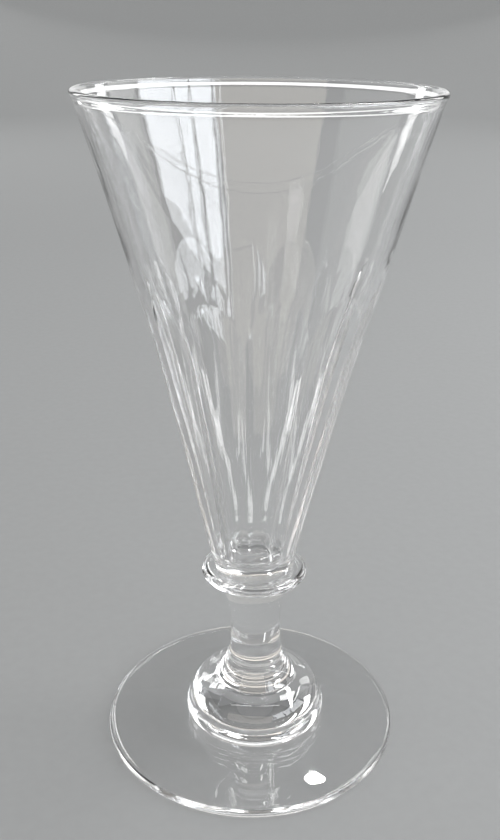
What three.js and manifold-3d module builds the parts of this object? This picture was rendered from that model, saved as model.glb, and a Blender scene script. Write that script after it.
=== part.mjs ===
// A conical ale glass of clear glass: a bowl with cut flutes on a collar, a short waisted stem, a round
// knop on a low terrace, and a round foot. Lengths are in millimetres and angles in radians. +Z is up, and
// the origin is the centre of the flat ring that the foot rests on.

import * as THREE from "three";
import { mergeVertices } from "three/addons/utils/BufferGeometryUtils.js";
import Module from "manifold-3d";

const wasm = await Module();
wasm.setup();

// Foot: a disc with a flat resting ring, a hollow underside and a polished pontil spot at its centre
const footRadius = 35.2;
const footEdgeThickness = 2.4;
const footSeatHeight = 3.4;
const footSeatMargin = 0.6;
const footHollowRadius = 27;
const footHollowDepth = 0.7;
const pontilRadius = 6.5;
const pontilDepth = 0.4;

// Terrace: the low round step on the foot, widest at its belly, with a rounded upper edge
const terraceRadius = 16.9;
const terraceHeight = 3.8;
const terraceBaseRadius = 15.8;
const terraceBellyHeight = 1.7;
const terraceRound = 2;

// Knop: the round bun on the terrace, with its belly low down and a crown that grows flat towards the stem.
// The crown's curve is part of an ellipse that starts this far from the axis
const knopRadius = 15.5;
const knopHeight = 6.9;
const knopBaseRadius = 14.3;
const knopBellyHeight = 1.1;
const knopCrownRadius = 6;

// Stem: wide where it was pressed onto the knop, then a waist, and a flare under the collar
const stemHeight = 27.8;
const stemBaseRadius = 9.4;
const stemBaseFlareHeight = 4.8;
const stemWaistRadius = 5.9;
const stemWaistHeight = 11.9;
const stemTopRadius = 8.15;

// Collar: a flat round disc with a rounded edge
const collarRadius = 12.2;
const collarThickness = 2.4;

// Bowl: a tall cone with a slightly hollow wall line, thick at its base and thin at its rim
const bowlHeight = 105.7;
const bowlSeatRadius = 8.6;
const bowlBaseRoundHeight = 4.2;
const wallFootRadius = 9.25;
const rimRadius = 35.9;
const wallSag = 1.06;
const wallFootThickness = 3;
const rimWallThickness = 1.2;
const rimBeadRadius = 0.7;
const cavityFloorThickness = 1.6;
const cavityFloorRound = 4;

// Flutes: flat cuts side by side round the lower bowl, which meet in sharp edges and end in arches on top
const fluteCount = 12;
const fluteStraightHeight = 55.8;
const fluteEdgeDepth = 0.08;
const cuttingWheelRadius = 107;
const cutterOverrun = 2;

// Counts of facets and steps
const roundSegments = 60;
const facetsPerFlute = 6;
const bowlSegments = fluteCount * facetsPerFlute;
const roundSteps = 6;
const beadSteps = 8;
const wallSteps = 12;
const cutterSteps = 14;

// Heights of the planes where one piece is fused to the next
const terraceTop = footSeatHeight + terraceHeight;
const knopTop = terraceTop + knopHeight;
const stemTop = knopTop + stemHeight;
const collarTop = stemTop + collarThickness;
const rimTop = collarTop + bowlHeight;

const quarterTurn = Math.PI / 2;

// A point of a section: its distance from the axis and its height
function at(radius, height) {
  return new THREE.Vector2(radius, height);
}

// Points along an arc of an ellipse, both ends included
function arc(centre, halfWidth, halfHeight, fromAngle, toAngle, steps = roundSteps) {
  const points = [];
  for (let step = 0; step <= steps; step += 1) {
    const angle = fromAngle + ((toAngle - fromAngle) * step) / steps;
    points.push(at(centre.x + halfWidth * Math.cos(angle), centre.y + halfHeight * Math.sin(angle)));
  }
  return points;
}

// Points along a bend from one point to another, drawn towards a corner, both ends included
function bend(from, corner, to) {
  return new THREE.QuadraticBezierCurve(from, corner, to).getPoints(roundSteps);
}

// Points along a line that is given as a distance from the axis for each height, both ends included
function line(radiusAt, fromHeight, toHeight, steps) {
  const points = [];
  for (let step = 0; step <= steps; step += 1) {
    const height = fromHeight + ((toHeight - fromHeight) * step) / steps;
    points.push(at(radiusAt(height), height));
  }
  return points;
}

// A round solid from half its section, which starts and ends on the axis; repeated points are left out
function turned(section, segments) {
  const points = section.filter((point, index) => index === 0 || !point.equals(section[index - 1]));
  return new THREE.LatheGeometry(points, segments).rotateX(quarterTurn);
}

// The closed solid that a geometry bounds, ready to be cut
function solidOf(geometry) {
  const bare = geometry.clone();
  bare.deleteAttribute("normal");
  bare.deleteAttribute("uv");
  const merged = mergeVertices(bare);
  const corners = merged.getIndex().array;
  const kept = [];
  for (let first = 0; first < corners.length; first += 3) {
    const [a, b, c] = corners.slice(first, first + 3);
    if (a !== b && b !== c && c !== a) {
      kept.push(a, b, c);
    }
  }
  const mesh = new wasm.Mesh({
    numProp: 3,
    vertProperties: new Float32Array(merged.getAttribute("position").array),
    triVerts: new Uint32Array(kept),
  });
  return new wasm.Manifold(mesh);
}

// The geometry of a solid after it has been cut
function geometryOf(solid) {
  const mesh = solid.getMesh();
  const geometry = new THREE.BufferGeometry();
  geometry.setAttribute("position", new THREE.BufferAttribute(new Float32Array(mesh.vertProperties), 3));
  geometry.setIndex(new THREE.BufferAttribute(new Uint32Array(mesh.triVerts), 1));
  geometry.computeVertexNormals();
  return geometry;
}

function footGeometry() {
  const edgeRound = footEdgeThickness / 2;
  const edgeCentre = at(footRadius - edgeRound, edgeRound);
  const pontilTop = footHollowDepth + pontilDepth;
  const pontilEdge = at(pontilRadius, footHollowDepth);
  return turned(
    [
      ...bend(at(0, pontilTop), at(pontilRadius / 2, pontilTop), pontilEdge),
      ...bend(pontilEdge, at(footHollowRadius / 2, footHollowDepth), at(footHollowRadius, 0)),
      ...arc(edgeCentre, edgeRound, edgeRound, -quarterTurn, quarterTurn),
      at(terraceBaseRadius + footSeatMargin, footSeatHeight),
      at(0, footSeatHeight),
    ],
    roundSegments,
  );
}

function terraceGeometry() {
  const base = at(terraceBaseRadius, footSeatHeight);
  const belly = at(terraceRadius, footSeatHeight + terraceBellyHeight);
  const roundCentre = at(terraceRadius - terraceRound, belly.y);
  return turned(
    [
      at(0, footSeatHeight),
      ...bend(base, at(terraceRadius, (base.y + belly.y) / 2), belly),
      ...arc(roundCentre, terraceRound, terraceTop - belly.y, 0, quarterTurn),
      at(0, terraceTop),
    ],
    roundSegments,
  );
}

function knopGeometry() {
  const belly = at(knopRadius, terraceTop + knopBellyHeight);
  const underside = bend(at(knopBaseRadius, terraceTop), at(knopRadius, (terraceTop + belly.y) / 2), belly);
  const crownWidth = knopRadius - knopCrownRadius;
  const crownAngle = Math.acos((stemBaseRadius - knopCrownRadius) / crownWidth);
  const crownHeight = (knopTop - belly.y) / Math.sin(crownAngle);
  return turned(
    [
      at(0, terraceTop),
      ...underside,
      ...arc(at(knopCrownRadius, belly.y), crownWidth, crownHeight, 0, crownAngle),
      at(0, knopTop),
    ],
    roundSegments,
  );
}

function stemGeometry() {
  const base = at(stemBaseRadius, knopTop);
  const waist = at(stemWaistRadius, knopTop + stemWaistHeight);
  return turned(
    [
      at(0, knopTop),
      ...bend(base, at(stemWaistRadius, base.y + stemBaseFlareHeight), waist),
      ...bend(waist, at(stemWaistRadius, (waist.y + stemTop) / 2), at(stemTopRadius, stemTop)),
      at(0, stemTop),
    ],
    roundSegments,
  );
}

function collarGeometry() {
  const edgeRound = collarThickness / 2;
  const edgeCentre = at(collarRadius - edgeRound, stemTop + edgeRound);
  return turned(
    [
      at(0, stemTop),
      ...arc(edgeCentre, edgeRound, edgeRound, -quarterTurn, quarterTurn),
      at(0, collarTop),
    ],
    roundSegments,
  );
}

// The bowl's outer radius at a height: a straight line from base to rim, drawn in by the sag at its middle
function wallRadius(height) {
  const heightShare = (height - collarTop) / bowlHeight;
  const straight = wallFootRadius + (rimRadius - wallFootRadius) * heightShare;
  return straight - 4 * wallSag * heightShare * (1 - heightShare);
}

// The cavity's radius at a height: the wall grows evenly thinner towards the rim
function cavityRadius(height) {
  const heightShare = (height - collarTop) / bowlHeight;
  return wallRadius(height) - wallFootThickness - (rimWallThickness - wallFootThickness) * heightShare;
}

// The blown bowl before it is cut
function blankBowlGeometry() {
  const wallStart = collarTop + bowlBaseRoundHeight;
  const baseRoundWidth = wallRadius(wallStart) - bowlSeatRadius;
  const beadCentre = at(rimRadius - rimBeadRadius, rimTop - rimBeadRadius);
  const beadStartAngle = -Math.PI / 3;
  const wallEnd = beadCentre.y + rimBeadRadius * Math.sin(beadStartAngle);
  const knee = collarTop + cavityFloorThickness + cavityFloorRound;
  return turned(
    [
      at(0, collarTop),
      ...arc(at(bowlSeatRadius, wallStart), baseRoundWidth, bowlBaseRoundHeight, -quarterTurn, 0),
      ...line(wallRadius, wallStart, wallEnd, wallSteps),
      ...arc(beadCentre, rimBeadRadius, rimBeadRadius, beadStartAngle, Math.PI, beadSteps),
      ...line(cavityRadius, wallEnd, knee, wallSteps),
      ...arc(at(0, knee), cavityRadius(knee), cavityFloorRound, 0, -quarterTurn),
    ],
    bowlSegments,
  );
}

// How far a cut face lies from the axis at a height. In its straight part it follows the wall, so deep that
// the edges between the flutes lie just under the blown surface. Above that it follows the round of the
// wheel out of the wall
function cutFaceRadius(height) {
  const straight = (wallRadius(height) - fluteEdgeDepth) * Math.cos(Math.PI / fluteCount);
  const above = Math.max(0, height - collarTop - fluteStraightHeight);
  return straight + cuttingWheelRadius - Math.sqrt(cuttingWheelRadius ** 2 - above ** 2);
}

// The glass that one pass of the wheel grinds away, on the side that faces -Y. It ends where the wheel has
// left the wall by the overrun
function fluteCutterGeometry() {
  const bottom = collarTop - cutterOverrun;
  const straightTop = collarTop + fluteStraightHeight;
  const lift = wallRadius(straightTop) - cutFaceRadius(straightTop) + cutterOverrun;
  const top = straightTop + Math.sqrt(cuttingWheelRadius ** 2 - (cuttingWheelRadius - lift) ** 2);
  const outside = rimRadius + cutterOverrun;
  const halfWidth = wallRadius(top) * Math.tan(Math.PI / fluteCount) + cutterOverrun;
  const outline = new THREE.Shape([
    ...line(cutFaceRadius, bottom, straightTop, cutterSteps),
    ...line(cutFaceRadius, straightTop, top, cutterSteps).slice(1),
    at(outside, top),
    at(outside, bottom),
  ]);
  const cutter = new THREE.ExtrudeGeometry(outline, { depth: 2 * halfWidth, bevelEnabled: false });
  cutter.translate(0, 0, -halfWidth);
  return cutter.rotateX(quarterTurn).rotateZ(-quarterTurn);
}

function bowlGeometry() {
  const cutter = fluteCutterGeometry();
  let bowl = solidOf(blankBowlGeometry());
  for (let flute = 0; flute < fluteCount; flute += 1) {
    const turnedCutter = cutter.clone().rotateZ((2 * Math.PI * flute) / fluteCount);
    bowl = bowl.subtract(solidOf(turnedCutter));
  }
  return geometryOf(bowl);
}

// Clear colourless glass, with the faint grey that a thick mass of it shows
function glass(colour) {
  return new THREE.MeshStandardMaterial({
    color: colour,
    roughness: 0.05,
    metalness: 0,
    transparent: true,
    opacity: 0.35,
  });
}

const bowlGlass = glass(0xe9eeee);
const stemGlass = glass(0xdfe5e6);
const footGlass = glass(0xd6dddf);

const aleGlass = new THREE.Group();

function addPiece(name, geometry, material) {
  const piece = new THREE.Mesh(geometry, material);
  piece.name = name;
  aleGlass.add(piece);
}

addPiece("foot", footGeometry(), footGlass);
addPiece("terrace", terraceGeometry(), footGlass);
addPiece("knop", knopGeometry(), stemGlass);
addPiece("stem", stemGeometry(), stemGlass);
addPiece("collar", collarGeometry(), stemGlass);
addPiece("bowl", bowlGeometry(), bowlGlass);

export default aleGlass;
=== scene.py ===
"""A conical ale glass of clear glass on a pale floor.

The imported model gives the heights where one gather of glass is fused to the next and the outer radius
of each. Every gather is made again here as one fine closed surface that turns about the upright axis.
Shapes are worked out in millimetres and go into the meshes in metres.
"""
import math

import bpy
import numpy as np
from mathutils import Matrix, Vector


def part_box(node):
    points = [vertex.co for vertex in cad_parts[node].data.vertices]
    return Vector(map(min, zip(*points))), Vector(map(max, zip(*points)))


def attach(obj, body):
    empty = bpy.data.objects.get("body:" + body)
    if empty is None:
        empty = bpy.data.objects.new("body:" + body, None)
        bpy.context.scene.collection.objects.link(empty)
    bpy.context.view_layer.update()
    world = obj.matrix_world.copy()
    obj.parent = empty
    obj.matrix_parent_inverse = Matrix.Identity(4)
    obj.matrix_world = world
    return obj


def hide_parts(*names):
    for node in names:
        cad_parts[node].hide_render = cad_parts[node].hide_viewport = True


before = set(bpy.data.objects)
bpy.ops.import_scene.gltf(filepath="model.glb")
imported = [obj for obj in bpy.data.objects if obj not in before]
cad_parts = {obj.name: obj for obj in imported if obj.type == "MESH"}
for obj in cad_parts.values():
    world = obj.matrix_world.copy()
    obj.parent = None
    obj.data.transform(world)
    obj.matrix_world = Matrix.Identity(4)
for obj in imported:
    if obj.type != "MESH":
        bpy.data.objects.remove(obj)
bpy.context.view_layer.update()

MM = 0.001
BODY = "root"
QUARTER = math.pi / 2


# Sizes from the frame

def extent(node):
    """Lowest height, highest height and outer radius of a node, in millimetres."""
    low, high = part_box(node)
    return low.z / MM, high.z / MM, high.x / MM


REST_HEIGHT, FOOT_TOP, FOOT_RADIUS = extent("foot")
_, TERRACE_TOP, TERRACE_RADIUS = extent("terrace")
_, KNOP_TOP, KNOP_RADIUS = extent("knop")
_, STEM_TOP, STEM_BASE_RADIUS = extent("stem")
_, COLLAR_TOP, COLLAR_RADIUS = extent("collar")
_, RIM_TOP, RIM_RADIUS = extent("bowl")
BOWL_HEIGHT = RIM_TOP - COLLAR_TOP

# Sizes of the gathers that the frame's boxes don't give, in millimetres

FOOT_EDGE_THICKNESS = 2.4
FOOT_HOLLOW_RADIUS = 27
FOOT_HOLLOW_DEPTH = 0.7
PONTIL_RADIUS = 6.5
PONTIL_DEPTH = 0.4
TERRACE_BASE_RADIUS = 15.8
TERRACE_BELLY_HEIGHT = 1.7
TERRACE_ROUND = 2
KNOP_BASE_RADIUS = 14.3
KNOP_BELLY_HEIGHT = 1.1
KNOP_CROWN_RADIUS = 6
STEM_BASE_FLARE_HEIGHT = 4.8
STEM_WAIST_RADIUS = 5.9
STEM_WAIST_HEIGHT = 11.9
STEM_TOP_RADIUS = 8.15
COLLAR_EDGE_DEPTH = 2.8
BOWL_SEAT_RADIUS = 8.6
BOWL_BASE_ROUND_HEIGHT = 4.2
WALL_FOOT_RADIUS = 9.25
WALL_SAG = 1.06
WALL_FOOT_THICKNESS = 3
RIM_WALL_THICKNESS = 1.2
RIM_BEAD_RADIUS = 0.7
RIM_BLEND_HEIGHT = 2.6
CAVITY_FLOOR_THICKNESS = 1.6
CAVITY_FLOOR_ROUND = 4

# The soft round where the stem was pressed onto the knop: how far it reaches out and how far it drops

NECK_ROUND = 1
NECK_DROP = 0.55

# The cuts. The arch of a flute is looked for within the search height

FLUTE_COUNT = 12
FLUTE_STRAIGHT_HEIGHT = 55.8
FLUTE_EDGE_DEPTH = 0.08
CUTTING_WHEEL_RADIUS = 107
ARCH_SEARCH_HEIGHT = 25
EDGE_POLISH = 0.12
CUT_DEPTH_SPREAD = 0.04
CUT_DEPTH_SEED = 4
CUT_HEIGHT_SPREAD = 1.0
CUT_HEIGHT_SEED = 9
HALF_FLUTE = math.pi / FLUTE_COUNT

# How far the axis wanders from true as the gathers were stuck on by eye: heights and offsets to the right
# as the camera sees them, in millimetres. The foot's edge is off by an amount of its own, and its disc is
# narrower at its front and at its back by twice the narrowing

AXIS_HEIGHTS = (3.4, 14, 30, 42, 52, 84, 120, 150)
AXIS_OFFSETS = (0.5, 0.7, 0.4, 0, -0.4, -0.2, 0.15, -0.1)
FOOT_EDGE_OFFSET = -0.6
FOOT_NARROWING = 0.35

# Faint rings on the foot's top, which only its reflections show

FOOT_RING_SPACINGS = (5.2, 2.9)
FOOT_RING_HEIGHTS = (0.0007, 0.0002)

# The view of the photograph, solved from the rim, the foot and the outlines. Lengths are in millimetres

CAMERA_DISTANCE = 190.2
CAMERA_HEIGHT = 163.1
CAMERA_TURN_DEGREES = -9.5
CAMERA_YAW_DEGREES = 0.39
CAMERA_PITCH_DEGREES = -23.37
CAMERA_ROLL_DEGREES = 0.49
FOCAL_PIXELS = 943.8
FRAME_LONG_SIDE_PIXELS = 840
SENSOR_MM = 36

# The paper cove, in millimetres. Its floor lies a hair under the foot

COVE_FLAT_RADIUS = 1500
COVE_TURN = 500
COVE_HEIGHT = 1500
COVE_DROP = 0.05


# Lines of a section, as arrays of points: distance from the axis and height

def arc(centre, half_width, half_height, start, end, count):
    """Points on an ellipse: centre plus half width times the cosine and half height times the sine."""
    angle = np.linspace(start, end, count)
    out = centre[0] + half_width * np.cos(angle)
    up = centre[1] + half_height * np.sin(angle)
    return np.column_stack([out, up])


def bend(start, corner, end, count):
    """Points on a parabola from start to end, drawn towards corner: weights (1-t)^2, 2t(1-t) and t^2."""
    t = np.linspace(0, 1, count)[:, None]
    return (1 - t) ** 2 * np.array(start) + 2 * t * (1 - t) * np.array(corner) + t**2 * np.array(end)


def straight(start, end, count):
    """Points evenly spaced from start to end."""
    return np.linspace(start, end, count)


def wall_radius(height):
    """The bowl's outer radius: a straight line from base to rim, less four times the sag times h(1-h)."""
    share = (height - COLLAR_TOP) / BOWL_HEIGHT
    return WALL_FOOT_RADIUS + (RIM_RADIUS - WALL_FOOT_RADIUS) * share - 4 * WALL_SAG * share * (1 - share)


def cavity_radius(height):
    """The cavity's radius: the outer radius less a wall that grows evenly thinner towards the rim."""
    share = (height - COLLAR_TOP) / BOWL_HEIGHT
    return wall_radius(height) - WALL_FOOT_THICKNESS - (RIM_WALL_THICKNESS - WALL_FOOT_THICKNESS) * share


def wheel_face(height, longer):
    """Distance of a flute's flat from the axis: it follows the wall, then the wheel's round out of the
    wall, which starts higher where the cut is longer."""
    follows = (wall_radius(height) - FLUTE_EDGE_DEPTH) * math.cos(HALF_FLUTE)
    above = np.maximum(0, height - COLLAR_TOP - FLUTE_STRAIGHT_HEIGHT - longer)
    return follows + CUTTING_WHEEL_RADIUS - np.sqrt(CUTTING_WHEEL_RADIUS**2 - above**2)


def hand(seed, count):
    """One number from -1 to 1 for each of count cuts, the small uneven spread of work done by eye."""
    return np.random.default_rng(seed).uniform(-1, 1, count)


def cut_radius(height, angle):
    """Radius of the cut body at an angle. A flute's flat lies at its face distance over the cosine of
    the angle from its middle. Of the two nearest flats the nearer one counts, less a quarter of the
    polish times the square of (1 - difference / polish) where they differ by less than the polish,
    which rounds the edge."""
    flute = np.floor(angle / (2 * HALF_FLUTE) + 0.5).astype(int)
    from_middle = angle - flute * 2 * HALF_FLUTE
    beside = flute + np.where(from_middle < 0, -1, 1)
    from_beside = 2 * HALF_FLUTE - np.abs(from_middle)
    deeper = hand(CUT_DEPTH_SEED, FLUTE_COUNT) * CUT_DEPTH_SPREAD
    longer = hand(CUT_HEIGHT_SEED, FLUTE_COUNT) * CUT_HEIGHT_SPREAD

    def flat_radius(cut, turned):
        """Radius of one flat at an angle turned from its middle."""
        cut = cut % FLUTE_COUNT
        return (wheel_face(height, longer[cut]) + deeper[cut]) / np.cos(turned)

    own = flat_radius(flute, from_middle)
    other = flat_radius(beside, from_beside)
    overlap = np.maximum(0, 1 - np.abs(own - other) / EDGE_POLISH)
    return np.minimum(own, other) - EDGE_POLISH / 4 * overlap**2


def eased(radius_at, start_height, end, count):
    """Points up a wall line that leave it for an end point: the line's radius plus the end's distance
    from it times 3t^2 - 2t^3."""
    t = np.linspace(0, 1, count)
    height = start_height + (end[1] - start_height) * t
    radius = radius_at(height) + (end[0] - radius_at(end[1])) * t * t * (3 - 2 * t)
    return np.column_stack([radius, height])


def crossing(difference, low, high):
    """The height in each column where a rising difference passes zero, found by halving 40 times."""
    for _ in range(40):
        middle = (low + high) / 2
        below = difference(middle) < 0
        low = np.where(below, middle, low)
        high = np.where(below, high, middle)
    return (low + high) / 2


# Meshes

def graded(count, first, last):
    """Shares from 0 to 1 whose steps grow from a first to a last step: the running sum of steps that
    grow by an equal factor."""
    steps = np.geomspace(first, last, count - 1)
    return np.concatenate([[0], np.cumsum(steps) / steps.sum()])


def off_axis(radius, height):
    """Offset of a point from the true axis, to the camera's right: between two of the known heights it
    eases from one offset to the next by 3t^2 - 2t^3. Below the lowest, it eases across the foot from
    its middle to its edge."""
    heights = np.array(AXIS_HEIGHTS)
    offsets = np.array(AXIS_OFFSETS)
    below = np.clip(np.searchsorted(heights, height, side="right") - 1, 0, len(heights) - 2)
    t = np.clip((height - heights[below]) / (heights[below + 1] - heights[below]), 0, 1)
    along = offsets[below] + (offsets[below + 1] - offsets[below]) * t * t * (3 - 2 * t)
    out = np.clip((radius - TERRACE_BASE_RADIUS) / (FOOT_RADIUS - TERRACE_BASE_RADIUS), 0, 1)
    across = offsets[0] + (FOOT_EDGE_OFFSET - offsets[0]) * out * out * (3 - 2 * out)
    return np.where(height <= FOOT_TOP, across, along)


def evenly(count):
    """Angles of that many columns right round, from -Y towards +X."""
    return np.arange(count) * 2 * math.pi / count


def flute_columns():
    """Angles of the bowl's columns: close together at the polished edges and wider on the flats,
    mirrored about the middle of each flute."""
    edge_degrees = np.array([0, 0.25, 0.5, 0.75, 1, 1.35, 1.8, 2.5])
    flat_degrees = np.linspace(3.5, math.degrees(HALF_FLUTE), 10)
    from_edge = np.radians(np.concatenate([edge_degrees, flat_degrees]))
    half = HALF_FLUTE - from_edge
    one = np.concatenate([-half, half[-2:0:-1]])
    starts = np.arange(FLUTE_COUNT)[:, None] * 2 * HALF_FLUTE
    return (starts + one[None, :]).ravel()


def closed_mesh(name, radius, height, angle, band_slot, crease, marks=None):
    """A closed surface round the axis. radius and height hold a row for each ring and a column for
    each angle, and a point lies at radius times (sin angle, -cos angle) from the axis. The first and
    the last row are poles on the axis, and become one vertex each. band_slot is the material of each
    band between two rows, crease says which rows are sharp, and marks are values for each point that
    materials read."""
    rows, columns = radius.shape
    right = math.radians(CAMERA_TURN_DEGREES)
    offset = off_axis(radius, height)
    every_x = radius * np.sin(angle) + offset * math.cos(right)
    every_y = -radius * np.cos(angle) + offset * math.sin(right)
    every = np.stack([every_x, every_y, height], axis=-1)
    points = np.concatenate([every[0, :1], every[1:-1].reshape(-1, 3), every[-1, :1]]) * MM

    here = np.arange(columns)
    beside = (here + 1) % columns
    row = 1 + np.arange(rows - 3)[:, None] * columns
    above = row + columns
    quads = np.stack([row + here, row + beside, above + beside, above + here], axis=-1).reshape(-1, 4)
    last_ring = 1 + (rows - 3) * columns
    bottom_fan = np.stack([np.zeros(columns, int), 1 + beside, 1 + here], axis=-1)
    top_fan = np.stack([last_ring + here, last_ring + beside, np.full(columns, len(points) - 1)], axis=-1)
    corners = np.concatenate([bottom_fan.ravel(), quads.ravel(), top_fan.ravel()])
    sizes = np.concatenate([np.full(columns, 3), np.full(len(quads), 4), np.full(columns, 3)])

    mesh = bpy.data.meshes.new(name)
    mesh.vertices.add(len(points))
    mesh.vertices.foreach_set("co", points.astype(np.float32).ravel())
    mesh.loops.add(len(corners))
    mesh.loops.foreach_set("vertex_index", corners.astype(np.int32))
    mesh.polygons.add(len(sizes))
    mesh.polygons.foreach_set("loop_start", np.concatenate([[0], np.cumsum(sizes)[:-1]]).astype(np.int32))
    mesh.update(calc_edges=True)
    mesh.polygons.foreach_set("material_index", np.repeat(band_slot, columns).astype(np.int32))
    mesh.polygons.foreach_set("use_smooth", np.ones(len(sizes), bool))

    row_of = np.concatenate([[0], np.repeat(np.arange(1, rows - 1), columns), [rows - 1]])
    ends = np.empty(2 * len(mesh.edges), np.int32)
    mesh.edges.foreach_get("vertices", ends)
    end_rows = row_of[ends.reshape(-1, 2)]
    sharp = (end_rows[:, 0] == end_rows[:, 1]) & crease[end_rows[:, 0]]
    mesh.attributes.new("sharp_edge", "BOOLEAN", "EDGE").data.foreach_set("value", sharp)
    for mark, values in (marks or {}).items():
        spread = np.concatenate([values[0, :1], values[1:-1].ravel(), values[-1, :1]])
        mesh.attributes.new(mark, "FLOAT", "POINT").data.foreach_set("value", spread.astype(np.float32))
    mesh.validate()
    return mesh


def add_piece(name, mesh, materials):
    """Adds a gather of glass in the place of the node of the same name."""
    for material in materials:
        mesh.materials.append(material)
    piece = bpy.data.objects.new(name + "_glass", mesh)
    bpy.context.scene.collection.objects.link(piece)
    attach(piece, BODY)
    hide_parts(name)


def turned_mesh(name, stretches, columns, waver=None):
    """A plain turned gather. stretches are lines of its section in order, each with the slot of its
    bands. They share their end points, and where two meet the ring is sharp. waver moves points by a
    function of angle, radius and height."""
    lines = [stretches[0][0]] + [points[1:] for points, _ in stretches[1:]]
    section = np.concatenate(lines)
    band_slot = np.concatenate([np.full(len(points) - 1, slot) for points, slot in stretches])
    joins = np.cumsum([len(points) - 1 for points, _ in stretches])[:-1]
    crease = np.zeros(len(section), bool)
    crease[joins] = True
    angle = evenly(columns)
    radius = np.repeat(section[:, :1], columns, axis=1)
    height = np.repeat(section[:, 1:], columns, axis=1)
    if waver:
        radius, height = waver(angle, radius, height)
    return closed_mesh(name, radius, height, angle, band_slot, crease)


# Gathers of glass. Slot 0 is the glass and slot 1 the flat where it is fused to its neighbour

GLASS, JOINT = 0, 1


def foot_by_hand(angle, radius, height):
    """Shapes the flat foot as it was pressed out hot. It is narrower towards the camera and away from
    it by the narrowing times (1 + cosine of twice the angle) and the square of the share of the way
    out. On top it has two faint rings, sines of the distance from the axis whose place drifts with the
    angle. They fade towards the terrace and the edge by the root of the sine of pi times that share."""
    from_front = angle - math.radians(CAMERA_TURN_DEGREES)
    out = np.clip((radius - TERRACE_BASE_RADIUS) / (FOOT_RADIUS - TERRACE_BASE_RADIUS), 0, 1)
    narrower = radius - FOOT_NARROWING * (1 + np.cos(2 * from_front)) * out**2
    on_top = height > FOOT_EDGE_THICKNESS - 0.2
    drift = 0.9 * np.sin(from_front + 1) + 0.5 * np.sin(3 * from_front)
    wide = FOOT_RING_HEIGHTS[0] * np.sin(2 * np.pi * radius / FOOT_RING_SPACINGS[0] + drift)
    narrow = FOOT_RING_HEIGHTS[1] * np.sin(2 * np.pi * radius / FOOT_RING_SPACINGS[1] - 2 * drift)
    return narrower, height + (wide + narrow) * np.sin(np.pi * out) ** 0.5 * on_top


def foot_mesh():
    """The foot: the pontil spot, the hollow, the ring it rests on, its round edge and its sloping top."""
    edge_round = FOOT_EDGE_THICKNESS / 2
    edge_centre = (FOOT_RADIUS - edge_round, REST_HEIGHT + edge_round)
    pontil_top = FOOT_HOLLOW_DEPTH + PONTIL_DEPTH
    pontil_edge = (PONTIL_RADIUS, FOOT_HOLLOW_DEPTH)
    ring_edge = (FOOT_HOLLOW_RADIUS, REST_HEIGHT)
    return turned_mesh(
        "foot",
        [
            (bend((0, pontil_top), (PONTIL_RADIUS / 2, pontil_top), pontil_edge, 12), GLASS),
            (bend(pontil_edge, (FOOT_HOLLOW_RADIUS / 2, FOOT_HOLLOW_DEPTH), ring_edge, 24), GLASS),
            (np.concatenate([
                straight(ring_edge, (edge_centre[0], REST_HEIGHT), 4)[:-1],
                arc(edge_centre, edge_round, edge_round, -QUARTER, QUARTER, 20)[:-1],
                straight((edge_centre[0], FOOT_EDGE_THICKNESS), (TERRACE_BASE_RADIUS, FOOT_TOP), 60),
            ]), GLASS),
            (straight((TERRACE_BASE_RADIUS, FOOT_TOP), (0, FOOT_TOP), 6), JOINT),
        ],
        columns=240,
        waver=foot_by_hand,
    )


def terrace_mesh():
    """The terrace: a step that swells out to its belly and turns in with a quarter of an ellipse."""
    base = (TERRACE_BASE_RADIUS, FOOT_TOP)
    belly = (TERRACE_RADIUS, FOOT_TOP + TERRACE_BELLY_HEIGHT)
    top_radius = TERRACE_RADIUS - TERRACE_ROUND
    return turned_mesh(
        "terrace",
        [
            (straight((0, FOOT_TOP), base, 6), JOINT),
            (np.concatenate([
                bend(base, (TERRACE_RADIUS, (base[1] + belly[1]) / 2), belly, 10)[:-1],
                arc((top_radius, belly[1]), TERRACE_ROUND, TERRACE_TOP - belly[1], 0, QUARTER, 16)[:-1],
                straight((top_radius, TERRACE_TOP), (KNOP_BASE_RADIUS, TERRACE_TOP), 3),
            ]), GLASS),
            (straight((KNOP_BASE_RADIUS, TERRACE_TOP), (0, TERRACE_TOP), 6), JOINT),
        ],
        columns=240,
    )


def knop_mesh():
    """The knop: a bend out to its low belly, a crown that is part of an ellipse, and the neck, a
    parabola that turns the crown up into the stem. The crown's angle and height are such that it ends
    where the neck starts."""
    belly = TERRACE_TOP + KNOP_BELLY_HEIGHT
    base = (KNOP_BASE_RADIUS, TERRACE_TOP)
    crown_width = KNOP_RADIUS - KNOP_CROWN_RADIUS
    neck_start = (STEM_BASE_RADIUS + NECK_ROUND, KNOP_TOP - NECK_DROP)
    neck_corner = (STEM_BASE_RADIUS + NECK_ROUND / 3, KNOP_TOP - NECK_ROUND / 3)
    crown_angle = math.acos((neck_start[0] - KNOP_CROWN_RADIUS) / crown_width)
    crown_height = (neck_start[1] - belly) / math.sin(crown_angle)
    return turned_mesh(
        "knop",
        [
            (straight((0, TERRACE_TOP), base, 6), JOINT),
            (np.concatenate([
                bend(base, (KNOP_RADIUS, (TERRACE_TOP + belly) / 2), (KNOP_RADIUS, belly), 10)[:-1],
                arc((KNOP_CROWN_RADIUS, belly), crown_width, crown_height, 0, crown_angle, 34)[:-1],
                bend(neck_start, neck_corner, (STEM_BASE_RADIUS, KNOP_TOP), 10),
            ]), GLASS),
            (straight((STEM_BASE_RADIUS, KNOP_TOP), (0, KNOP_TOP), 6), JOINT),
        ],
        columns=240,
    )


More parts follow.
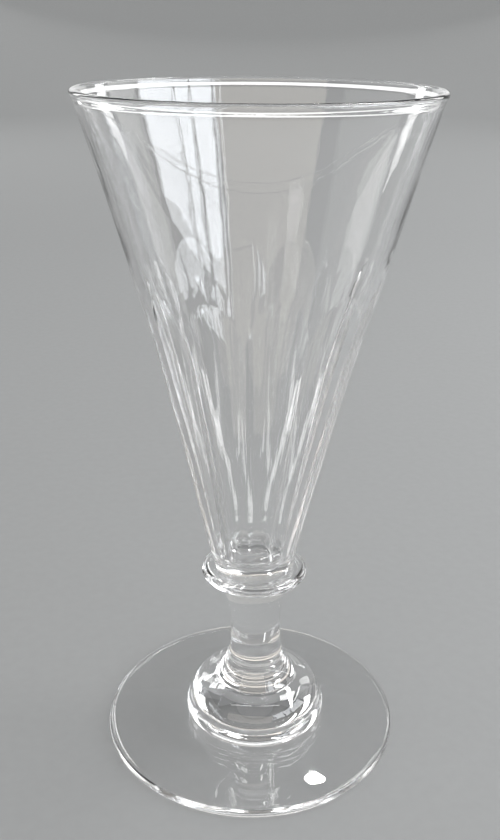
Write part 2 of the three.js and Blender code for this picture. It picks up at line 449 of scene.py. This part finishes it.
def stem_mesh():
    """The stem: a parabola in to its waist and another out to the collar."""
    base = (STEM_BASE_RADIUS, KNOP_TOP)
    waist = (STEM_WAIST_RADIUS, KNOP_TOP + STEM_WAIST_HEIGHT)
    top = (STEM_TOP_RADIUS, STEM_TOP)
    return turned_mesh(
        "stem",
        [
            (straight((0, KNOP_TOP), base, 6), JOINT),
            (np.concatenate([
                bend(base, (STEM_WAIST_RADIUS, KNOP_TOP + STEM_BASE_FLARE_HEIGHT), waist, 30)[:-1],
                bend(waist, (STEM_WAIST_RADIUS, (waist[1] + STEM_TOP) / 2), top, 36),
            ]), GLASS),
            (straight(top, (0, STEM_TOP), 6), JOINT),
        ],
        columns=192,
    )


def collar_mesh():
    """The collar: a flat disc whose edge is half an ellipse."""
    half_height = (COLLAR_TOP - STEM_TOP) / 2
    edge_centre = (COLLAR_RADIUS - COLLAR_EDGE_DEPTH, STEM_TOP + half_height)
    return turned_mesh(
        "collar",
        [
            (straight((0, STEM_TOP), (STEM_TOP_RADIUS, STEM_TOP), 6), JOINT),
            (np.concatenate([
                straight((STEM_TOP_RADIUS, STEM_TOP), (edge_centre[0], STEM_TOP), 4)[:-1],
                arc(edge_centre, COLLAR_EDGE_DEPTH, half_height, -QUARTER, QUARTER, 28)[:-1],
                straight((edge_centre[0], COLLAR_TOP), (BOWL_SEAT_RADIUS, COLLAR_TOP), 4),
            ]), GLASS),
            (straight((BOWL_SEAT_RADIUS, COLLAR_TOP), (0, COLLAR_TOP), 6), JOINT),
        ],
        columns=192,
    )


# Where the bowl's glass is even: wholly on the cuts, and in the cavity from this far above the flutes'
# straight part downwards, where it grows by 1 over the blend height, up to the share given

EVEN_MARK = "even"
EVEN_CAVITY_START = 12
EVEN_CAVITY_BLEND = 30
EVEN_CAVITY_SHARE = 0.85


def bowl_mesh():
    """The bowl in seven stretches, each a grid of shares of its own length in every column: the flat
    that is fused to the collar, the round of the base up to the scallop where the flutes begin, the
    flutes up to the arch where the wheel left the wall, the blown wall, the rim's bead, the cavity's
    wall and the cavity's floor."""
    angle = flute_columns()
    columns = len(angle)
    round_top = COLLAR_TOP + BOWL_BASE_ROUND_HEIGHT
    round_width = wall_radius(round_top) - BOWL_SEAT_RADIUS
    bead_centre = (RIM_RADIUS - RIM_BEAD_RADIUS, RIM_TOP - RIM_BEAD_RADIUS)
    wall_end = RIM_TOP - RIM_BLEND_HEIGHT
    wall_lean = math.atan((wall_radius(RIM_TOP) - wall_radius(wall_end)) / RIM_BLEND_HEIGHT)
    knee = COLLAR_TOP + CAVITY_FLOOR_THICKNESS + CAVITY_FLOOR_ROUND

    def round_radius(height):
        """Radius of the rounded base: the seat plus the round's width times the root of 1 less the
        rise squared."""
        rise = (height - round_top) / BOWL_BASE_ROUND_HEIGHT
        return BOWL_SEAT_RADIUS + round_width * np.sqrt(np.maximum(0, 1 - rise**2))

    def between(low, high, share):
        """Values from low to high in each column, at the shares given."""
        return low + (high - low) * share[:, None]

    every = np.ones(columns)
    scallop = crossing(
        lambda h: round_radius(h) - cut_radius(h, angle),
        COLLAR_TOP * every,
        round_top * every,
    )
    wheel_start = (COLLAR_TOP + FLUTE_STRAIGHT_HEIGHT) * every
    arch = crossing(
        lambda h: cut_radius(h, angle) - wall_radius(h),
        wheel_start,
        wheel_start + ARCH_SEARCH_HEIGHT,
    )

    seat = straight(0, BOWL_SEAT_RADIUS, 6)[:, None] * every
    turn_end = np.arcsin((scallop - round_top) / BOWL_BASE_ROUND_HEIGHT)
    turn = between(-QUARTER * every, turn_end, np.linspace(0, 1, 12))
    low_half = graded(34, 0.3, 1) / 2
    flute_height = between(scallop, arch, np.concatenate([low_half, 1 - low_half[-2::-1]]))
    wall_height = between(arch, wall_end * every, graded(26, 0.3, 1))
    bead = arc(bead_centre, RIM_BEAD_RADIUS, RIM_BEAD_RADIUS, -wall_lean, math.pi - wall_lean, 18)
    lip = np.concatenate([
        eased(wall_radius, wall_end, bead[0], 10)[:-1],
        bead,
        eased(cavity_radius, wall_end, bead[-1], 10)[-2::-1],
    ])
    inner_height = between(wall_end * every, knee * every, np.linspace(0, 1, 46))
    floor = arc((0, knee), cavity_radius(knee), CAVITY_FLOOR_ROUND, 0, -QUARTER, 20)
    floor[-1, 0] = 0

    turn_radius = BOWL_SEAT_RADIUS + round_width * np.cos(turn)
    turn_height = round_top + BOWL_BASE_ROUND_HEIGHT * np.sin(turn)
    stretches = [
        (seat, np.full(seat.shape, COLLAR_TOP), JOINT, True),
        (turn_radius, turn_height, GLASS, True),
        (cut_radius(flute_height, angle), flute_height, GLASS, True),
        (wall_radius(wall_height), wall_height, GLASS, False),
        (lip[:, :1] * every, lip[:, 1:] * every, GLASS, False),
        (cavity_radius(inner_height), inner_height, GLASS, False),
        (floor[:, :1] * every, floor[:, 1:] * every, GLASS, False),
    ]
    radius = np.concatenate([stretches[0][0]] + [s[0][1:] for s in stretches[1:]])
    height = np.concatenate([stretches[0][1]] + [s[1][1:] for s in stretches[1:]])
    band_slot = np.concatenate([np.full(len(s[0]) - 1, s[2]) for s in stretches])
    crease = np.zeros(len(radius), bool)
    last = np.cumsum([len(s[0]) - 1 for s in stretches])
    for end, stretch in zip(last, stretches):
        crease[end] = stretch[3]

    even = np.zeros(radius.shape)
    turn_last, flutes_last, lip_last = last[1], last[2], last[4]
    even[turn_last:flutes_last + 1] = 1
    blown_from = COLLAR_TOP + FLUTE_STRAIGHT_HEIGHT + EVEN_CAVITY_START
    depth_share = (blown_from - height[lip_last:]) / EVEN_CAVITY_BLEND
    even[lip_last:] = np.clip(depth_share, 0, EVEN_CAVITY_SHARE)
    return closed_mesh("bowl", radius, height, angle, band_slot, crease, {EVEN_MARK: even})


# Materials. Lengths are in millimetres. A seed is a tiny bubble at the surface. Smears are what washing
# leaves: the part of a noise above the first of the two levels turns the gloss a little soft. The
# scratches of wear are much finer than a pixel, so they are drawn as a grain as coarse as their clusters

LEAD_GLASS_IOR = 1.54
CORD_STRETCH = 0.07
EVEN_REMAINDER = 0.04
SEED_SPACING = 9
SEED_RADIUS = 0.16
SEED_HEIGHT = 0.05
SMEAR_WIDTH = 9
SMEAR_LEVELS = (0.55, 0.8)
SMEAR_ROUGHNESS = 0.05
WEAR_ROUGHNESS = 0.08
WEAR_GRAIN = 1.2
WEAR_EDGE = 2
WEAR_HEIGHT = 0.35
STRAIGHT_LOOK_KEEPS = 0.955
MOTTLE_WIDTH = 3


def linear(hex_colour):
    """A colour written as sRGB hex, in linear light by the standard sRGB curve."""
    parts = np.array([int(hex_colour[i:i + 2], 16) for i in (1, 3, 5)]) / 255
    light = np.where(parts <= 0.04045, parts / 12.92, ((parts + 0.055) / 1.055) ** 2.4)
    return (*light, 1.0)


def add_node(tree, kind, settings=(), links=()):
    """Adds a node. settings are pairs of an attribute or an input's name or number and its value;
    links are pairs of an input's name or number and the output that feeds it."""
    node = tree.nodes.new(kind)
    for key, value in settings:
        if isinstance(key, str) and hasattr(node, key):
            setattr(node, key, value)
        else:
            node.inputs[key].default_value = value
    for key, output in links:
        tree.links.new(output, node.inputs[key])
    return node


def new_material(name):
    """A new material and its empty node tree."""
    material = bpy.data.materials.new(name)
    material.use_nodes = True
    material.node_tree.nodes.clear()
    return material, material.node_tree


def worn_roughness(tree, place, rough):
    """Adds the grey of the ring that the foot rests on to a roughness. It grows from the hollow's edge
    outwards, by the square root of x squared plus y squared, fades with the height and is broken up by
    scratches."""
    flat = add_node(
        tree,
        "ShaderNodeVectorMath",
        [("operation", "MULTIPLY"), (1, (1, 1, 0))],
        [(0, place)],
    )
    distance = add_node(
        tree,
        "ShaderNodeVectorMath",
        [("operation", "LENGTH")],
        [(0, flat.outputs["Vector"])],
    )
    out = add_node(
        tree,
        "ShaderNodeMapRange",
        [("From Min", FOOT_HOLLOW_RADIUS * MM), ("From Max", (FOOT_HOLLOW_RADIUS + WEAR_EDGE) * MM)],
        [("Value", distance.outputs["Value"])],
    )
    upright = add_node(tree, "ShaderNodeSeparateXYZ", [], [("Vector", place)])
    low = add_node(
        tree,
        "ShaderNodeMapRange",
        [("From Min", 0.0), ("From Max", WEAR_HEIGHT * MM), ("To Min", 1.0), ("To Max", 0.0)],
        [("Value", upright.outputs["Z"])],
    )
    scratches = add_node(
        tree,
        "ShaderNodeTexNoise",
        [("Scale", 1 / (WEAR_GRAIN * MM)), ("Detail", 5.0)],
        [("Vector", place)],
    )
    worn = add_node(
        tree,
        "ShaderNodeMath",
        [("operation", "MULTIPLY")],
        [(0, out.outputs["Result"]), (1, low.outputs["Result"])],
    )
    matt = add_node(
        tree,
        "ShaderNodeMath",
        [("operation", "MULTIPLY")],
        [(0, worn.outputs["Value"]), (1, scratches.outputs["Fac"])],
    )
    return add_node(
        tree,
        "ShaderNodeMath",
        [("operation", "MULTIPLY_ADD"), (1, WEAR_ROUGHNESS)],
        [(0, matt.outputs["Value"]), (2, rough)],
    ).outputs["Value"]


def lead_glass(name, swells, cords, even_mark=None, worn_ring=False):
    """Clear lead glass. swells are its slow waves and cords are the threads drawn out along the
    height, each as spacing and depth in millimetres. even_mark names the mark of the places that have
    hardly any of either. worn_ring greys the ring that the foot rests on."""
    material, tree = new_material(name)
    place = add_node(tree, "ShaderNodeTexCoord").outputs["Object"]

    slow = add_node(
        tree,
        "ShaderNodeTexNoise",
        [("Scale", 1 / (swells[0] * MM)), ("Detail", 1.0)],
        [("Vector", place)],
    )
    drawn = add_node(
        tree,
        "ShaderNodeMapping",
        [("Scale", (1, 1, CORD_STRETCH))],
        [("Vector", place)],
    )
    threads = add_node(
        tree,
        "ShaderNodeTexNoise",
        [("Scale", 1 / (cords[0] * MM)), ("Detail", 2.0), ("Distortion", 0.4)],
        [("Vector", drawn.outputs["Vector"])],
    )
    heights = [slow.outputs["Fac"], threads.outputs["Fac"]]
    if even_mark:
        even = add_node(tree, "ShaderNodeAttribute", [("attribute_name", even_mark)])
        left = add_node(
            tree,
            "ShaderNodeMapRange",
            [("To Min", 1.0), ("To Max", EVEN_REMAINDER)],
            [("Value", even.outputs["Fac"])],
        )
        heights = [
            add_node(
                tree,
                "ShaderNodeMath",
                [("operation", "MULTIPLY")],
                [(0, height), (1, left.outputs["Result"])],
            ).outputs["Value"]
            for height in heights
        ]
    cells = add_node(
        tree,
        "ShaderNodeTexVoronoi",
        [("Scale", 1 / (SEED_SPACING * MM))],
        [("Vector", place)],
    )
    seeds = add_node(
        tree,
        "ShaderNodeMapRange",
        [("From Max", SEED_RADIUS / SEED_SPACING), ("To Min", 1.0), ("To Max", 0.0)],
        [("Value", cells.outputs["Distance"])],
    )
    surface = []
    for height, depth in zip(heights + [seeds.outputs["Result"]], (swells[1], cords[1], SEED_HEIGHT)):
        bump = add_node(
            tree,
            "ShaderNodeBump",
            [("Strength", 1.0), ("Distance", depth * MM)],
            [("Height", height)] + surface,
        )
        surface = [("Normal", bump.outputs["Normal"])]

    smear = add_node(
        tree,
        "ShaderNodeTexNoise",
        [("Scale", 1 / (SMEAR_WIDTH * MM)), ("Detail", 4.0)],
        [("Vector", place)],
    )
    smear_begins, smear_full = SMEAR_LEVELS
    rough = add_node(
        tree,
        "ShaderNodeMapRange",
        [
            ("From Min", smear_begins),
            ("From Max", smear_full),
            ("To Min", 0.0),
            ("To Max", SMEAR_ROUGHNESS),
        ],
        [("Value", smear.outputs["Fac"])],
    ).outputs["Result"]
    if worn_ring:
        rough = worn_roughness(tree, place, rough)

    glass = add_node(
        tree,
        "ShaderNodeBsdfPrincipled",
        [("Base Color", linear("#FEFEFE")), ("Transmission Weight", 1.0), ("IOR", LEAD_GLASS_IOR)],
        [("Roughness", rough)] + surface,
    )
    # Light that reaches the floor through the glass loses what Schlick's rule says each face reflects: a
    # straight look keeps all but one part in twenty, and a grazing look keeps nothing
    facing = add_node(tree, "ShaderNodeLayerWeight", [("Blend", 0.5)])
    grazing = add_node(
        tree,
        "ShaderNodeMath",
        [("operation", "POWER"), (1, 5.0)],
        [(0, facing.outputs["Facing"])],
    )
    kept = add_node(
        tree,
        "ShaderNodeMapRange",
        [("To Min", STRAIGHT_LOOK_KEEPS), ("To Max", 0.0)],
        [("Value", grazing.outputs["Value"])],
    )
    passes = add_node(tree, "ShaderNodeBsdfTransparent", links=[("Color", kept.outputs["Result"])])
    ray = add_node(tree, "ShaderNodeLightPath")
    seen = glass.outputs["BSDF"]
    for lighting in ("Is Shadow Ray", "Is Diffuse Ray"):
        seen = add_node(
            tree,
            "ShaderNodeMixShader",
            links=[(0, ray.outputs[lighting]), (1, seen), (2, passes.outputs["BSDF"])],
        ).outputs["Shader"]
    add_node(tree, "ShaderNodeOutputMaterial", links=[("Surface", seen)])
    return material


def fused_joint():
    """Glass melted to glass: there is no surface to see, so light goes straight through."""
    material, tree = new_material("fused_glass_joint")
    clear = add_node(tree, "ShaderNodeBsdfTransparent", [("Color", (1, 1, 1, 1))])
    add_node(tree, "ShaderNodeOutputMaterial", links=[("Surface", clear.outputs["BSDF"])])
    return material


def pale_paper():
    """Matt seamless paper: pale and even, with a very faint mottle. Paper fibre is finer than a pixel,
    so the mottle is drawn much wider."""
    material, tree = new_material("pale_matt_paper")
    place = add_node(tree, "ShaderNodeTexCoord").outputs["Object"]
    mottle = add_node(
        tree,
        "ShaderNodeTexNoise",
        [("Scale", 1 / (MOTTLE_WIDTH * MM)), ("Detail", 3.0)],
        [("Vector", place)],
    )
    tone = add_node(
        tree,
        "ShaderNodeMix",
        [("data_type", "RGBA"), (6, linear("#888989")), (7, linear("#8E8F8F"))],
        [(0, mottle.outputs["Fac"])],
    )
    paper = add_node(
        tree,
        "ShaderNodeBsdfPrincipled",
        [("Roughness", 0.9)],
        [("Base Color", tone.outputs[2])],
    )
    add_node(tree, "ShaderNodeOutputMaterial", links=[("Surface", paper.outputs["BSDF"])])
    return material


# Camera, cove and light

def turned_to_camera():
    """The turn about the upright axis that brings -Y to the side that the camera looks from."""
    return Matrix.Rotation(math.radians(CAMERA_TURN_DEGREES), 4, "Z")


def add_camera():
    """The camera, where the photograph was taken from."""
    data = bpy.data.cameras.new("camera")
    data.sensor_width = SENSOR_MM
    data.lens = FOCAL_PIXELS / FRAME_LONG_SIDE_PIXELS * SENSOR_MM
    data.clip_start = 10 * MM
    camera = bpy.data.objects.new("camera", data)
    bpy.context.scene.collection.objects.link(camera)
    stand = Matrix.Translation((0, -CAMERA_DISTANCE * MM, CAMERA_HEIGHT * MM))
    yaw = Matrix.Rotation(math.radians(CAMERA_YAW_DEGREES), 4, "Z")
    pitch = Matrix.Rotation(QUARTER + math.radians(CAMERA_PITCH_DEGREES), 4, "X")
    roll = Matrix.Rotation(math.radians(CAMERA_ROLL_DEGREES), 4, "Z")
    camera.matrix_world = turned_to_camera() @ stand @ yaw @ pitch @ roll
    bpy.context.scene.camera = camera


def add_cove():
    """A round paper cove: the line of a flat floor that turns up into a wall, taken round the axis."""
    flat = straight((0.1, -COVE_DROP), (COVE_FLAT_RADIUS, -COVE_DROP), 12)
    turn = arc((COVE_FLAT_RADIUS, COVE_TURN - COVE_DROP), COVE_TURN, COVE_TURN, -QUARTER, 0, 24)
    wall = straight(turn[-1], (COVE_FLAT_RADIUS + COVE_TURN, COVE_HEIGHT), 6)
    section = np.concatenate([flat, turn[1:], wall[1:]])
    angle = evenly(96)
    around = np.stack([np.sin(angle), -np.cos(angle)], axis=-1)
    rings = section[:, None, :1] * around[None]
    heights = np.repeat(section[:, None, 1:], len(angle), axis=1)
    points = np.concatenate([rings, heights], axis=-1).reshape(-1, 3) * MM
    here = np.arange(len(angle))
    beside = (here + 1) % len(angle)
    row = np.arange(len(section) - 1)[:, None] * len(angle)
    above = row + len(angle)
    quads = np.stack([row + beside, row + here, above + here, above + beside], axis=-1).reshape(-1, 4)
    mesh = bpy.data.meshes.new("cove")
    mesh.from_pydata(points.tolist(), [], quads.tolist() + [here.tolist()])
    mesh.polygons.foreach_set("use_smooth", np.ones(len(mesh.polygons), bool))
    mesh.materials.append(pale_paper())
    cove = bpy.data.objects.new("cove", mesh)
    bpy.context.scene.collection.objects.link(cove)


def add_world():
    """The even light of the room beyond the cove."""
    world = bpy.data.worlds.new("studio")
    world.use_nodes = True
    background = world.node_tree.nodes["Background"]
    background.inputs["Color"].default_value = linear("#8E8F90")
    background.inputs["Strength"].default_value = 0.85
    bpy.context.scene.world = world


def add_light(name, width, height, radiance, place, tint="#FFFFFF", shape="RECTANGLE"):
    """A flat light that the camera doesn't see. Its sides are in metres and radiance is the light that
    leaves a rectangle per area. An ellipse gives 4 / pi times that. place puts it in a frame that is
    turned to the camera, where it shines along its own -Z."""
    data = bpy.data.lights.new(name, "AREA")
    data.shape = shape
    data.size = width
    data.size_y = height
    data.energy = radiance * math.pi * width * height
    data.color = linear(tint)[:3]
    light = bpy.data.objects.new(name, data)
    light.visible_camera = False
    bpy.context.scene.collection.objects.link(light)
    light.matrix_world = turned_to_camera() @ place
    return data


def add_softbox(name, azimuth, elevation, distance, width, height, radiance, roll=0, **look):
    """A light that faces the middle of the glass. azimuth, elevation and roll are in degrees, seen
    from the glass, with azimuth 0 at the camera and growing to the right. distance is in metres, and
    look may hold a tint and a shape."""
    aim = Matrix.Translation((0, 0, (REST_HEIGHT + RIM_TOP) / 2 * MM))
    swing = Matrix.Rotation(math.radians(azimuth), 4, "Z")
    lift = Matrix.Rotation(QUARTER - math.radians(elevation), 4, "X")
    spin = Matrix.Rotation(math.radians(roll), 4, "Z")
    place = aim @ swing @ lift @ Matrix.Translation((0, 0, distance)) @ spin
    add_light(name, width, height, radiance, place, **look)


def add_floor_board(name, left, right, near, far, radiance):
    """A lit board that lies on the floor out of the camera's view. Its sides are in metres from the
    axis, as the camera sees them. It lights only what is mirrored in or on the glass, so a straight
    look through the glass shows the floor and not the board."""
    centre = Matrix.Translation(((left + right) / 2, (near + far) / 2, 2 * MM))
    place = centre @ Matrix.Rotation(math.pi, 4, "X")
    data = add_light(name, right - left, far - near, radiance, place)
    data.use_nodes = True
    path = add_node(data.node_tree, "ShaderNodeLightPath")
    mirrored = add_node(
        data.node_tree,
        "ShaderNodeMath",
        [("operation", "GREATER_THAN"), (1, 0.5)],
        [(0, path.outputs["Glossy Depth"])],
    )
    emission = data.node_tree.nodes["Emission"]
    data.node_tree.links.new(mirrored.outputs["Value"], emission.inputs["Strength"])


def add_lights():
    """Soft boxes, strips and boards round the glass, which it mirrors as it does in the photograph."""
    daylight = {"tint": "#F6FAFF"}

    # Over the glass: the light on the floor and the highlight along the rim
    add_softbox("overhead_strip", 0, 80, 1.2, 1.4, 0.06, 7)

    # The tall window to the right, in panes. The bowl's upper left mirrors it with the bars between
    add_softbox("window_outer", 81, 25, 1.4, 0.64, 0.6, 7, **daylight)
    add_softbox("window_middle", 60, 25, 1.4, 0.23, 0.6, 7.5, **daylight)
    add_softbox("window_inner", 45, 25, 1.4, 0.34, 0.6, 7.5, **daylight)
    add_softbox("window_bar", 34.5, 25, 1.4, 0.045, 0.6, 5, **daylight)
    add_softbox("window_edge", 30, 25, 1.4, 0.03, 0.6, 4, **daylight)
    add_softbox("window_back", 112, 28, 1.4, 0.6, 0.7, 1.6)

    # Strips and panes behind, for the back of the rim, the foot's front edge and the bowl's sides
    add_softbox("rim_strip", 101, 41, 1.4, 1.2, 0.06, 13)
    add_softbox("pane_high_inner", 147, 48, 1.1, 0.14, 0.2, 5)
    add_softbox("pane_high_outer", 158, 48, 1.1, 0.1, 0.2, 5)
    add_softbox("back_right", 135, 22, 1.4, 0.25, 0.6, 5)
    add_softbox("back_left_outer", -138, 21, 1.4, 0.25, 0.75, 5)
    add_softbox("back_left_inner", -160, 34, 1.2, 0.06, 0.5, 10)

    # The room: a warm wall behind the camera, which gives the bowl its broad pale patch, and dim sides
    add_softbox("bright_wall", -9, 22, 1.4, 2.1, 1.02, 1.3, tint="#FFF4E6")
    add_softbox("room_left", -95, 16, 1.4, 1.4, 0.8, 0.5)
    add_softbox("back_wall", 180, 10, 1.8, 1.8, 0.4, 0.9)
    add_softbox("low_right", 112, 7, 1.6, 0.9, 0.3, 1.6)
    add_softbox("low_left", -112, 7, 1.6, 0.9, 0.3, 1.6)

    # The lamp whose image lies as an oval on the foot, and the high window in the knop
    add_softbox("foot_lamp", 169.1, 47.6, 0.98, 0.039, 0.0125, 60, roll=30, shape="ELLIPSE")
    add_softbox("high_window_inner", 106, 55, 1.4, 0.2, 0.46, 12)
    add_softbox("high_window_outer", 118, 55, 1.4, 0.2, 0.46, 12)

    # Boards beside the glass, which draw the bright lines along the lower flutes
    add_floor_board("board_right", 0.6, 1.2, -0.3, 0.42, 7)
    add_floor_board("board_right_front", 0.35, 0.9, -0.6, -0.3, 7)
    add_floor_board("board_left", -1.2, -0.6, -0.3, 0.42, 7)
    add_floor_board("board_left_front", -0.9, -0.35, -0.6, -0.3, 7)

    # A light behind the glass that faces away from it and down, onto the cove's far turn
    facing_away = Matrix.Rotation(QUARTER - math.radians(35), 4, "X")
    add_light("wall_light", 2.4, 0.3, 3.5, Matrix.Translation((0, 1.1, 0.8)) @ facing_away)


def let_light_bounce():
    """Light is mirrored many times inside a thick foot before it leaves, so its paths may be longer
    than usual. Cut short, they leave black outlines in the glass."""
    paths = bpy.context.scene.cycles
    paths.max_bounces = 24
    paths.glossy_bounces = 16
    paths.transmission_bounces = 24
    paths.transparent_max_bounces = 32


# Blown lead glass, cut and polished on a wheel: clear and bright. Where it was only blown, a slow swell
# bends the reflections and cords draw them out along the height, and the cuts stay flat and crisp. Real
# cords are some tenths of a millimetre wide. They are drawn as coarse as they need to show
bowl_glass = lead_glass("blown_and_cut_lead_glass", (16, 0.07), (2.6, 0.012), even_mark=EVEN_MARK)

# Lead glass drawn out hot into a stem: smooth, with fine cords along its length
drawn_glass = lead_glass("drawn_lead_glass", (9, 0.02), (1.6, 0.004))

# Lead glass turned against a tool while hot: smooth and fire bright, with soft swells
tooled_glass = lead_glass("tooled_lead_glass", (14, 0.03), (4, 0.003))

# The same pressed out flat: nearly a mirror from above, and greyed underneath where it has stood
foot_glass = lead_glass("tooled_lead_glass_foot", (30, 0.01), (6, 0.001), worn_ring=True)

joint = fused_joint()

add_piece("foot", foot_mesh(), [foot_glass, joint])
add_piece("terrace", terrace_mesh(), [tooled_glass, joint])
add_piece("knop", knop_mesh(), [tooled_glass, joint])
add_piece("stem", stem_mesh(), [drawn_glass, joint])
add_piece("collar", collar_mesh(), [tooled_glass, joint])
add_piece("bowl", bowl_mesh(), [bowl_glass, joint])

add_camera()
add_cove()
add_world()
add_lights()
let_light_bounce()
bpy.context.scene.view_settings.view_transform = "Standard"
